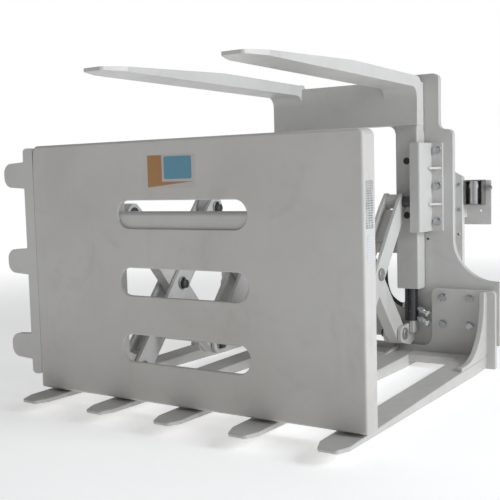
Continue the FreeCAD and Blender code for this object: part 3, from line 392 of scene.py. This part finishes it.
def weldBead(shape, start, end, radius=0.0032, pitch=0.0045):
    # a rippled bead: a small ring pushed along in steps
    start, end = Vector(start), Vector(end)
    along = end - start
    count = max(2, int(along.length / pitch))
    rotation = along.to_track_quat("Z", "Y").to_matrix().to_4x4()
    ring = bmesh.ops.create_circle(shape, cap_ends=True, segments=6, radius=radius * 0.6,
                                   matrix=Matrix.Translation(start) @ rotation)["verts"]
    face = ring[0].link_faces[0]
    for step in range(1, count + 1):
        moved = bmesh.ops.extrude_face_region(shape, geom=[face])
        bmesh.ops.translate(shape, verts=newVerts(moved), vec=along / count)
        face = [g for g in moved["geom"] if isinstance(g, bmesh.types.BMFace)][0]
        middle = face.calc_center_median()
        size = radius * (0.6 if step == count else (1.12 if step % 2 else 0.9))
        bmesh.ops.scale(shape, verts=face.verts, vec=(size / (face.verts[0].co - middle).length,) * 3,
                        space=Matrix.Translation(-middle))


def solidsOf(node):
    # lowest and highest corner of each separate solid in a CAD node
    shape = bmesh.new()
    shape.from_mesh(cadNodes[node].data)
    bmesh.ops.remove_doubles(shape, verts=shape.verts, dist=2e-5)
    waiting, found = set(shape.verts), []
    while waiting:
        island, edge = set(), [next(iter(waiting))]
        while edge:
            vert = edge.pop()
            if vert not in island:
                island.add(vert)
                edge += [e.other_vert(vert) for e in vert.link_edges]
        waiting -= island
        places = [v.co for v in island]
        found.append((Vector([min(p[i] for p in places) for i in range(3)]),
                      Vector([max(p[i] for p in places) for i in range(3)])))
    shape.free()
    return sorted(found, key=lambda corners: tuple(corners[0]))


# plates, arms and brackets keep their CAD shape but get broken edges
plateEdges = {
    "main_plate_right": 0.0030, "main_plate_left": 0.0030, "upper_cross_bar": 0.0025, "lower_cross_bar": 0.0025,
    "side_members": 0.0025, "upper_hooks": 0.0030, "lower_hooks": 0.0030, "platen_upright": 0.0035,
    "platen_shelves": 0.0025, "platen_gussets": 0.0025, "tine_1": 0.0035, "tine_2": 0.0035, "tine_3": 0.0035,
    "tine_4": 0.0035, "tine_5": 0.0035, "rear_tracks": 0.0020, "rear_foot_lugs": 0.0025, "clamp_feet": 0.0025,
    "housing_panel": 0.0010, "leg_right": 0.0025, "leg_left": 0.0025, "arm_right": 0.0045, "arm_left": 0.0045,
    "carriage_cross_member": 0.0040, "guide_shoes": 0.0020, "rear_inner_arms": 0.0025, "rear_outer_arms": 0.0018,
    "front_inner_arms": 0.0025, "front_outer_arms": 0.0018, "face_back_beam": 0.0030, "face_side_bar": 0.0040,
    "front_tracks": 0.0020, "front_foot_lugs": 0.0025, "face_uprights": 0.0030,
}


def pieceName(node):
    words = node.split("_")
    return words[0] + "".join(w.title() for w in words[1:])


memberLow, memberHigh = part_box("carriage_cross_member")


def hiddenSeam(node, edge):
    # welded flush: no gap shows where the cross member meets the arms
    if node not in ("carriage_cross_member", "arm_right", "arm_left"):
        return False
    first, second = (v.co for v in edge.verts)
    onSide = any(abs(first.x - x) < 1e-4 and abs(second.x - x) < 1e-4 for x in (memberLow.x, memberHigh.x))
    return onSide and all(memberLow.y - 1e-4 < p.y < memberHigh.y + 1e-4 and p.z < memberHigh.z + 1e-3
                          for p in (first, second))


def upright(edge, tall=0.0):
    first, second = (v.co for v in edge.verts)
    return abs(first.x - second.x) < 1e-4 and abs(first.y - second.y) < 1e-4 and abs(first.z - second.z) > tall


foldedEdges = {"leg": 0.008, "track": 0.011, "trackOuter": 0.36, "flangeDepth": 0.030, "flatAngle": 4}
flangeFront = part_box("rear_tracks")[1].y - foldedEdges["flangeDepth"]


def onFlange(edge):
    # the thin flange and its ribs keep crisp edges
    return any(v.co.y > flangeFront for v in edge.verts)


for node, width in plateEdges.items():
    shape = cadCopy(node)
    isTrack = node == "rear_tracks"
    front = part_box(node)[0].y + 0.001
    if node.startswith("leg_"):  # the folded front corners are rounder than the cut edges
        folds = [e for e in sharpEdges(shape) if upright(e, 0.3) and e.verts[0].co.y < front]
        soften(shape, folds, foldedEdges["leg"], 4)
    if isTrack:
        folds = [e for e in sharpEdges(shape) if upright(e, 0.2) and e.verts[0].co.y < front
                 and abs(e.verts[0].co.x) > foldedEdges["trackOuter"]]
        soften(shape, folds, foldedEdges["track"], 10)
    cutEdges = [e for e in sharpEdges(shape) if not hiddenSeam(node, e) and not (isTrack and onFlange(e))]
    soften(shape, cutEdges, width, 2)
    smoothAngle = foldedEdges["flatAngle"] if isTrack else 40
    made = toObject(shape, pieceName(node), cadNodes[node]["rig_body"], "paint", smoothAngle, [node])
    if not isTrack:
        weighted(made)
print("plates ready", len(plateEdges))

# inner fillets where the legs meet the cross member
filletShape = {"radius": 0.026, "steps": 8}
shape = bmesh.new()
for leg, side in (("leg_right", 1), ("leg_left", -1)):
    low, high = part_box(leg)
    corner = Vector((low.x if side > 0 else high.x, low.y, memberLow.z))
    r = filletShape["radius"]
    arc = [(corner.x, corner.z - r)]
    for step in range(filletShape["steps"] + 1):
        angle = math.pi / 2 * step / filletShape["steps"]
        arc.append((corner.x - side * r * (1 - math.cos(angle)), corner.z - r * (1 - math.sin(angle))))
    arc = arc[1:] + [(corner.x + side * 0.002, corner.z + 0.002), (corner.x + side * 0.002, corner.z - r)]
    face = shape.faces.new([shape.verts.new((x, corner.y + 0.0005, z)) for x, z in arc])
    grown = bmesh.ops.extrude_face_region(shape, geom=[face])
    depth = high.y - low.y - 0.001
    bmesh.ops.translate(shape, vec=(0, depth, 0), verts=newVerts(grown))
toObject(shape, "elbowFillets", "carriage", "paint", 30)

# weld beads along the joints of the lower frame
welds = []
for tine in range(1, 6):
    low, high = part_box("tine_%d" % tine)
    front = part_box("platen_upright")[0].y
    for x in (low.x, high.x):
        welds.append(((x, front, 0.012), (x, front, min(high.z, 0.046))))
    welds.append(((low.x, front, high.z), (high.x, front, high.z)))
for low, high in solidsOf("platen_gussets"):
    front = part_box("platen_upright")[0].y
    for x in (low.x, high.x):
        welds.append(((x, front, low.z + 0.01), (x, front, high.z - 0.006)))
for low, high in solidsOf("rear_foot_lugs"):
    for x in (low.x, high.x):
        welds.append(((x, high.y - 0.001, low.z + 0.006), (x, high.y - 0.001, high.z - 0.006)))
shape = bmesh.new()
for start, end in welds:
    weldBead(shape, start, end)
toObject(shape, "weldBeads", "frame", "paint", 60)
print("welds ready", len(welds))

# everything that is left of the CAD model keeps its mesh and gets a finish
leftOver = {
    "bareSteel": ["rear_rollers", "front_rollers", "housing_box"],
    "zinc": ["valve_body"],
    "darkSteel": ["rear_roller_shafts", "front_roller_shafts"],
    "chrome": ["clamp_rods", "push_rods"],
    "blackPaint": ["clamp_barrels", "clamp_glands", "push_barrels"],
    "nylon": ["wear_pads"],
}
for finish, names in leftOver.items():
    for name in names:
        slots = cadNodes[name].data.materials
        slots.clear()
        slots.append(finishes[finish])
        for polygon in cadNodes[name].data.polygons:
            polygon.material_index = 0


# bolts: chamfered hexagon head, washer, nut and a threaded end
boltShape = {"head": 0.62, "acrossCorners": 0.866, "washer": 1.05, "washerThick": 0.003, "nut": 0.8, "tail": 0.3,
             "threadPitch": 0.0025}


def hexPiece(shape, size, start, length, direction, spinBy=0.0):
    radius = boltShape["acrossCorners"] * size
    chamfer = 0.10 * size
    prism(shape, 6, radius, length - chamfer * 0.5, start, direction, chamfer, spinBy)


def throughBolt(shape, size, low, high, spinBy):
    x, z = (low.x + high.x) / 2, (low.z + high.z) / 2
    seat = low.y + boltShape["head"] * size
    thick = boltShape["washerThick"]
    wide = boltShape["washer"] * size
    turned(shape, [(0, 0), (0, wide - 0.0006), (0.0006, wide), (thick, wide), (thick, 0)], (x, seat - thick, z), yAxis)
    hexPiece(shape, size, (x, seat - thick, z), boltShape["head"] * size - thick, -yAxis, spinBy)
    turned(shape, [(0, 0), (0, 0.62 * size), (0.0006, 0.6 * size), (0.0008, 0)], (x, low.y + 0.0002, z), -yAxis)
    nutFace = high.y - 1.1 * size
    hexPiece(shape, size, (x, nutFace, z), boltShape["nut"] * size, yAxis, spinBy * 2)
    thread, along = [(0, 0)], 0.0
    while along < boltShape["tail"] * size:
        thread += [(along, 0.46 * size), (along + boltShape["threadPitch"] / 2, 0.5 * size)]
        along += boltShape["threadPitch"]
    thread += [(along, 0.44 * size), (along + 0.0004, 0)]
    turned(shape, thread, (x, nutFace + boltShape["nut"] * size - 0.0002, z), yAxis)


for node, size in (("platen_bolts", 0.016), ("track_bolts", 0.016)):
    shape = bmesh.new()
    for order, (low, high) in enumerate(solidsOf(node)):
        throughBolt(shape, size, low, high, 0.4 + 0.53 * order)
    toObject(shape, pieceName(node), "frame", "boltZinc", 30, [node])
shape = bmesh.new()
for order, (low, high) in enumerate(solidsOf("hook_bolts")):
    place = ((low.x + high.x) / 2, low.y, (low.z + high.z) / 2)
    hexPiece(shape, 0.014, place, high.y - low.y, yAxis, 0.7 * order)
toObject(shape, "hookBolts", "frame", "boltZinc", 30, ["hook_bolts"])
print("bolts ready")

# pins: chamfered outer head, and on the inner end a keeper bolt and a grease nipple
pinShape = {"chamfer": 0.0025, "keeperSize": 0.019, "keeperHigh": 0.013, "nippleReach": 0.014}


def pinWithKeeper(steel, dark, low, high):
    outward = 1 if low.x + high.x > 0 else -1
    inner, outer = (low.x, high.x) if outward > 0 else (high.x, low.x)
    centre = Vector((inner, (low.y + high.y) / 2, (low.z + high.z) / 2))
    headRadius = (high.z - low.z) / 2
    pinRadius = headRadius - 0.003
    long = abs(outer - inner)
    edge = pinShape["chamfer"]
    profile = [(0.0002, 0), (0.0002, headRadius - edge), (edge, headRadius), (0.006, headRadius), (0.006, pinRadius),
               (long - 0.0077, pinRadius), (long - 0.0077, headRadius), (long - edge, headRadius),
               (long - 0.0002, headRadius - edge), (long - 0.0002, headRadius * 0.62),
               (long - 0.0014, headRadius * 0.56), (long - 0.0014, 0)]
    turned(steel, profile, centre, outward * xAxis, 32)
    size, high = pinShape["keeperSize"], pinShape["keeperHigh"]
    seat = centre + Vector((outward * 0.0004, 0, -0.003))
    turned(dark, [(0, 0), (0, 0.95 * size), (0.002, 0.95 * size), (0.002, 0)], seat, -outward * xAxis)
    hexPiece(dark, size, seat - outward * 0.0018 * xAxis, high, -outward * xAxis, 0.5)
    root = centre + Vector((outward * 0.0004, 0, 0.0155))
    turned(dark, [(0, 0), (0, 0.0045), (0.005, 0.0045), (0.006, 0.0028), (0.010, 0.0028), (0.0115, 0.0036),
                  (0.0135, 0.003), (pinShape["nippleReach"], 0)], root, Vector((-outward, -0.5, 0.35)), 16)


pinNodes = {
    "rear_foot_pins": "frame", "rear_centre_pins": "rear_rising", "upper_middle_pins": "rear_rising",
    "lower_middle_pins": "rear_falling", "front_centre_pins": "front_rising", "front_foot_pins": "pusher",
}
for node, body in pinNodes.items():
    steel, dark = bmesh.new(), bmesh.new()
    for low, high in solidsOf(node):
        pinWithKeeper(steel, dark, low, high)
    toObject(steel, pieceName(node), body, "agedSteel", 30, [node])
    toObject(dark, pieceName(node) + "Keepers", body, "darkSteel", 30)
print("pins ready")

# painted spacer tubes on the roller shafts, between the fork plates
spacerShape = {"fromOuter": 0.0631, "bore": 0.0202, "radius": 0.0278, "edge": 0.0008, "length": 0.051}
forkLow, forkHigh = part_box("rear_outer_arms")
shaftSolids = solidsOf("rear_roller_shafts")
shape = bmesh.new()
for low, high in shaftSolids:
    side = 1 if low.x > 0 else -1
    outer = forkHigh.x if side > 0 else forkLow.x
    place = (outer - side * spacerShape["fromOuter"], (low.y + high.y) / 2, (low.z + high.z) / 2)
    bore, radius, edge, long = (spacerShape[k] for k in ("bore", "radius", "edge", "length"))
    turned(shape, [(0, bore), (0, radius - edge), (edge, radius), (long - edge, radius), (long, radius - edge),
                   (long, bore)], place, side * xAxis, 32)
toObject(shape, "rollerSpacers", "rear_falling", "paint", 35)

# clamp cylinder ports: pipe, hexagon, crimped collar and cap, leaning down to the right
portShape = {"slope": 30, "inset": 0.001, "heights": (0.052, 0.014), "pipe": 0.0075}
slope = math.radians(portShape["slope"])
lean = Vector((math.cos(slope), 0, -math.sin(slope)))
barrelSolids = solidsOf("clamp_barrels")
shape = bmesh.new()
for low, high in barrelSolids:
    for order, height in enumerate(portShape["heights"]):
        foot = Vector((high.x - portShape["inset"], (low.y + high.y) / 2, low.z + height))
        turned(shape, [(0, 0), (0, 0.006), (0.004, 0.011), (0.006, 0.011), (0.008, 0.0085),
                       (0.03, portShape["pipe"]), (0.03, 0)], foot, lean, 20)
        prism(shape, 6, 0.0135, 0.0125, foot + 0.0145 * lean, lean, 0.0012, 0.3 + order)
        crimps = [(0, 0)]
        for step in range(4):
            crimps += [(0.0055 * step, 0.0102), (0.0055 * step + 0.0030, 0.0102), (0.0055 * step + 0.0042, 0.0094)]
        crimps += [(0.0215, 0.0100), (0.0215, 0)]
        turned(shape, crimps, foot + 0.0272 * lean, lean, 24)
        prism(shape, 6, 0.0126, 0.0105, foot + 0.0437 * lean, lean, 0.0010, 0.1 + order)
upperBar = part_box("upper_cross_bar")[0]
rightBarrel = barrelSolids[-1]
hoseEnd = Vector((rightBarrel[0].x - 0.008, (rightBarrel[0].y + rightBarrel[1].y) / 2, rightBarrel[0].z + 0.054))
turned(shape, [(0, 0), (0, 0.0108), (0.008, 0.0108), (0.0092, 0.0100), (0.012, 0.0100), (0.012, 0)], hoseEnd, xAxis)
turned(shape, [(0, 0), (0, 0.0104), (0.012, 0.0108), (0.0155, 0.0108), (0.0155, 0)],
       (0.158, 0.057, upperBar.z - 0.0157), zAxis)
toObject(shape, "clampFittings", "frame", "brightZinc", 30, ["clamp_fittings"])

# hose from the upper cross bar down to the right clamp cylinder
hoseRoute = [(0.158, 0.057, 0.414), (0.160, 0.042, 0.346), (0.178, 0.013, 0.288), (0.213, -0.013, 0.246),
             (0.261, -0.020, 0.225)]
hoseLine = bpy.data.curves.new("clampHose", "CURVE")
hoseLine.dimensions = "3D"
hoseLine.bevel_depth = 0.008
hoseLine.bevel_resolution = 5
hoseLine.resolution_u = 16
hoseLine.use_fill_caps = True
spline = hoseLine.splines.new("NURBS")
spline.points.add(len(hoseRoute) - 1)
for point, place in zip(spline.points, hoseRoute):
    point.co = (*place, 1)
spline.order_u = 3
spline.use_endpoint_u = True
hose = bpy.data.objects.new("clampHose", hoseLine)
bpy.context.scene.collection.objects.link(hose)
hoseLine.materials.append(finishes["rubber"])
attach(hose, "frame")
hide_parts("clamp_hose")
print("hose and fittings ready")

# black plugs in the holes of the legs, painted shade: they stand in for the shadow and the black cylinder seen through
# the holes; and the cap at the right elbow
plugShape = {"radius": 0.0135, "dome": 0.0012, "heights": (0.590, 0.801)}
shape = bmesh.new()
for leg in ("leg_right", "leg_left"):
    low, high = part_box(leg)
    for z in plugShape["heights"]:
        r, dome = plugShape["radius"], plugShape["dome"]
        turned(shape, [(0, 0), (0, r), (0.4 * dome, r), (0.8 * dome, 0.7 * r), (dome, 0)],
               ((low.x + high.x) / 2, low.y + 0.0002, z), -yAxis, 28)
# the leg plugs are painted shade that darkens the holes
toObject(shape, "legPlugs", "carriage", "blackPlastic", 40)
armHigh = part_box("arm_right")[1]
legMiddle = (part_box("leg_right")[0].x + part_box("leg_right")[1].x) / 2
shape = bmesh.new()
turned(shape, [(0, 0), (0, 0.019), (0.004, 0.019), (0.012, 0.0165), (0.016, 0.011), (0.0165, 0)],
       (legMiddle + 0.012, armHigh.y - 0.020, armHigh.z - 0.006), zAxis, 28)
toObject(shape, "elbowCap", "carriage", "blackPlastic", 40)

# valve housing: knob on the panel's edge, and screws in the side member's upper holes
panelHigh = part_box("housing_panel")[1]
shape = bmesh.new()
knobAt = Vector((panelHigh.x - 0.006, panelHigh.y - 0.006, panelHigh.z - 0.030))
hexPiece(shape, 0.013, knobAt, 0.010, -yAxis, 0.2)
turned(shape, [(0, 0), (0, 0.0035), (0.012, 0.0035), (0.013, 0)], knobAt - 0.006 * yAxis, -yAxis, 16)
sideLow, sideHigh = solidsOf("side_members")[-1]
for step in (1, 2):
    place = (sideHigh.x - 0.015, sideLow.y, 0.511 + 0.096 * step)
    turned(shape, [(0, 0), (0, 0.0088), (0.0018, 0.0082), (0.0032, 0.0060), (0.0032, 0.0032), (0.0010, 0.0030),
                   (0.0010, 0)], place, -yAxis, 24)
toObject(shape, "housingScrews", "frame", "boltZinc", 30)
print("small parts ready")


# pusher plate: a folded tray, open at the back, with three round-ended slots
pusherPlate = {"corner": 0.020, "front": 0.009, "leftFront": 0.004, "back": 0.0025, "slotEdge": 0.0035,
               "slotLength": 0.480, "slotHeight": 0.088, "slotPitch": 0.211, "slotLowest": 0.226}
plateLow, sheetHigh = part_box("face_front_sheet")
_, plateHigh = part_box("face_rim")
sheetThick = sheetHigh.y - plateLow.y


def cutBy(target, cutter):
    tool = target.modifiers.new("opening", "BOOLEAN")
    tool.operation = "DIFFERENCE"
    tool.solver = "EXACT"
    tool.object = cutter
    bpy.context.view_layer.update()
    evaluated = target.evaluated_get(bpy.context.evaluated_depsgraph_get())
    shape = bmesh.new()
    shape.from_mesh(evaluated.to_mesh())
    for thing in (target, cutter):
        bpy.data.objects.remove(thing)
    return shape


def looseObject(shape, name):
    mesh = bpy.data.meshes.new(name)
    shape.to_mesh(mesh)
    shape.free()
    made = bpy.data.objects.new(name, mesh)
    bpy.context.scene.collection.objects.link(made)
    return made


shape = bmesh.new()
block(shape, plateLow, plateHigh)
topCorners = [e for e in shape.edges if all(v.co.z > plateHigh.z - 1e-4 for v in e.verts)
              and abs(e.verts[0].co.y - e.verts[1].co.y) > 0.01]
soften(shape, topCorners, pusherPlate["corner"], 8)
frontRim = [e for e in shape.edges if all(v.co.y < plateLow.y + 1e-4 for v in e.verts)]
leftFront = [e for e in frontRim if all(v.co.x < plateLow.x + 1e-4 for v in e.verts)]
soften(shape, [e for e in frontRim if e not in leftFront], pusherPlate["front"], 5)
leftFront = [e for e in sharpEdges(shape, 60) if all(v.co.x < plateLow.x + 1e-4 for v in e.verts)
             and all(v.co.y < plateLow.y + 1e-4 for v in e.verts)]
soften(shape, leftFront, pusherPlate["leftFront"], 4)
blank = looseObject(shape, "blank")
shape = bmesh.new()
half = (pusherPlate["slotLength"] - pusherPlate["slotHeight"]) / 2
for step in range(3):
    level = pusherPlate["slotLowest"] + step * pusherPlate["slotPitch"]
    before = set(shape.verts)
    prism(shape, 48, pusherPlate["slotHeight"] / 2, 0.1, (0, plateLow.y - 0.05, level), yAxis)
    added = [v for v in shape.verts if v not in before]
    for side in (-1, 1):
        bmesh.ops.translate(shape, verts=[v for v in added if v.co.x * side > 1e-5], vec=(side * half, 0, 0))
slotted = looseObject(cutBy(blank, looseObject(shape, "slots")), "slotted")
shape = bmesh.new()
block(shape, (plateLow.x + sheetThick, sheetHigh.y, plateLow.z + sheetThick),
      (plateHigh.x - sheetThick, plateHigh.y + 0.02, plateHigh.z - sheetThick))
shape = cutBy(slotted, looseObject(shape, "hollow"))
bmesh.ops.remove_doubles(shape, verts=shape.verts, dist=1e-5)
bmesh.ops.dissolve_limit(shape, angle_limit=math.radians(0.4), verts=shape.verts, edges=shape.edges)
mouths = [e for e in sharpEdges(shape, 50) if all(v.co.y < plateLow.y + 1e-4 for v in e.verts)
          and max(abs(v.co.x) for v in e.verts) < 0.25 and plateLow.z + 0.03 < e.verts[0].co.z < plateHigh.z - 0.03]
soften(shape, mouths, pusherPlate["slotEdge"], 3)
weighted(toObject(shape, "pusherPlate", "pusher", "pusherPaint", 40, ["face_front_sheet", "face_rim"]))
print("pusher ready")


# generic mark, blank data plate and oval label on the pusher
def film(name, outline, side, finish, thick=0.0004, curve=0):
    # a flat shape on the front (side "y") or right (side "x") of the pusher, raised a hair
    shape = bmesh.new()
    if side == "y":
        corners = [shape.verts.new((x, plateLow.y, z)) for x, z in outline]
        push = (0, -thick, 0)
    else:
        corners = [shape.verts.new((plateHigh.x, y, z)) for y, z in outline]
        push = (thick, 0, 0)
    shape.faces.new(corners)
    if curve:
        bmesh.ops.bevel(shape, geom=shape.verts[:], offset=curve, offset_type="OFFSET", affect="VERTICES",
                        segments=5, profile=0.5, material=-1)
    grown = bmesh.ops.extrude_face_region(shape, geom=shape.faces[:])
    bmesh.ops.translate(shape, vec=push, verts=newVerts(grown))
    return toObject(shape, name, "pusher", finish, 30)


def rectangle(x0, z0, x1, z1):
    return [(x0, z0), (x1, z0), (x1, z1), (x0, z1)]


film("markSheet", rectangle(-0.115, 0.728, 0.066, 0.829), "y", "filmLight", 0.0003, 0.004)
film("markCorner", [(-0.112, 0.731), (0.063, 0.747), (-0.058, 0.747), (-0.058, 0.827), (-0.112, 0.827)], "y",
     "filmOrange", 0.0006)
film("markBlock", rectangle(-0.050, 0.755, 0.052, 0.823), "y", "filmBlue", 0.0006, 0.006)
deep = plateLow.y + 0.010
film("dataPlate", rectangle(deep + 0.002, 0.610, deep + 0.046, 0.737), "x", "filmPlate", 0.0008, 0.003)
film("ovalLabel", rectangle(deep + 0.006, 0.515, deep + 0.040, 0.596), "x", "filmOval", 0.0004, 0.0168)
shape = bmesh.new()
for y in (deep + 0.006, deep + 0.042):
    for z in (0.614, 0.733):
        turned(shape, [(0, 0), (0, 0.0022), (0.0012, 0.0018), (0.0018, 0)], (plateHigh.x + 0.0008, y, z), xAxis, 12)
toObject(shape, "dataPlateRivets", "pusher", "zinc")


# floor, light
floorMesh = bmesh.new()
bmesh.ops.create_grid(floorMesh, x_segments=1, y_segments=1, size=14)
floorData = bpy.data.meshes.new("studioFloor")
floorMesh.to_mesh(floorData)
floor = bpy.data.objects.new("studioFloor", floorData)
floor.location.z = -0.0005
bpy.context.scene.collection.objects.link(floor)
floorShader = Shader("studioFloorPaint")
away = floorShader.node("VectorMath", {"operation": "LENGTH"}, {0: floorShader.place}, output="Value")
floorTone = floorShader.blend(floorShader.noise(3, 4), (0.93, 0.93, 0.93), (0.90, 0.90, 0.90))
floorGlow = floorShader.blend(floorShader.ramp(away, 1.8, 5.5), (0.42, 0.42, 0.42), (0.86, 0.86, 0.86))
floorData.materials.append(floorShader.finish(baseColor=floorTone, roughness=0.6, emissionColor=floorGlow,
                                              emissionStrength=1.0))
floor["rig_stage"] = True

lights = {
    "keyLight": {"place": (5.2, -0.6, 2.6), "aim": (0.1, -0.5, 0.5), "size": 2.2, "power": 182, "tint": (0.93, 0.965, 1)},
    "fillLight": {"place": (-1.6, -4.6, 2.6), "aim": (0, -0.8, 0.5), "size": 3.0, "power": 5, "tint": (1, 0.98, 0.95)},
    "topLight": {"place": (0.2, 0.4, 4.2), "aim": (0, -0.3, 0), "size": 3.0, "power": 28, "tint": (0.95, 0.98, 1)},
}
for name, setup in lights.items():
    lamp = bpy.data.lights.new(name, "AREA")
    lamp.size = setup["size"]
    lamp.energy = setup["power"]
    lamp.color = setup["tint"]
    holder = bpy.data.objects.new(name, lamp)
    holder.location = setup["place"]
    aim = Vector(setup["aim"]) - holder.location
    holder.rotation_euler = aim.to_track_quat("-Z", "Y").to_euler()
    bpy.context.scene.collection.objects.link(holder)
world = bpy.data.worlds.new("studioWorld")
world.use_nodes = True
sky = world.node_tree.nodes["Background"]
sky.inputs["Color"].default_value = (1, 1, 1, 1)
seen = world.node_tree.nodes.new("ShaderNodeLightPath")
# the backdrop stays white, and its light on the piece is soft
level = world.node_tree.nodes.new("ShaderNodeMapRange")
level.inputs["To Min"].default_value = 0.17
level.inputs["To Max"].default_value = 1.0
world.node_tree.links.new(seen.outputs["Is Camera Ray"], level.inputs["Value"])
world.node_tree.links.new(level.outputs["Result"], sky.inputs["Strength"])
bpy.context.scene.world = world
bpy.context.scene.view_settings.view_transform = "Standard"
print("studio ready")

low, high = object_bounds()
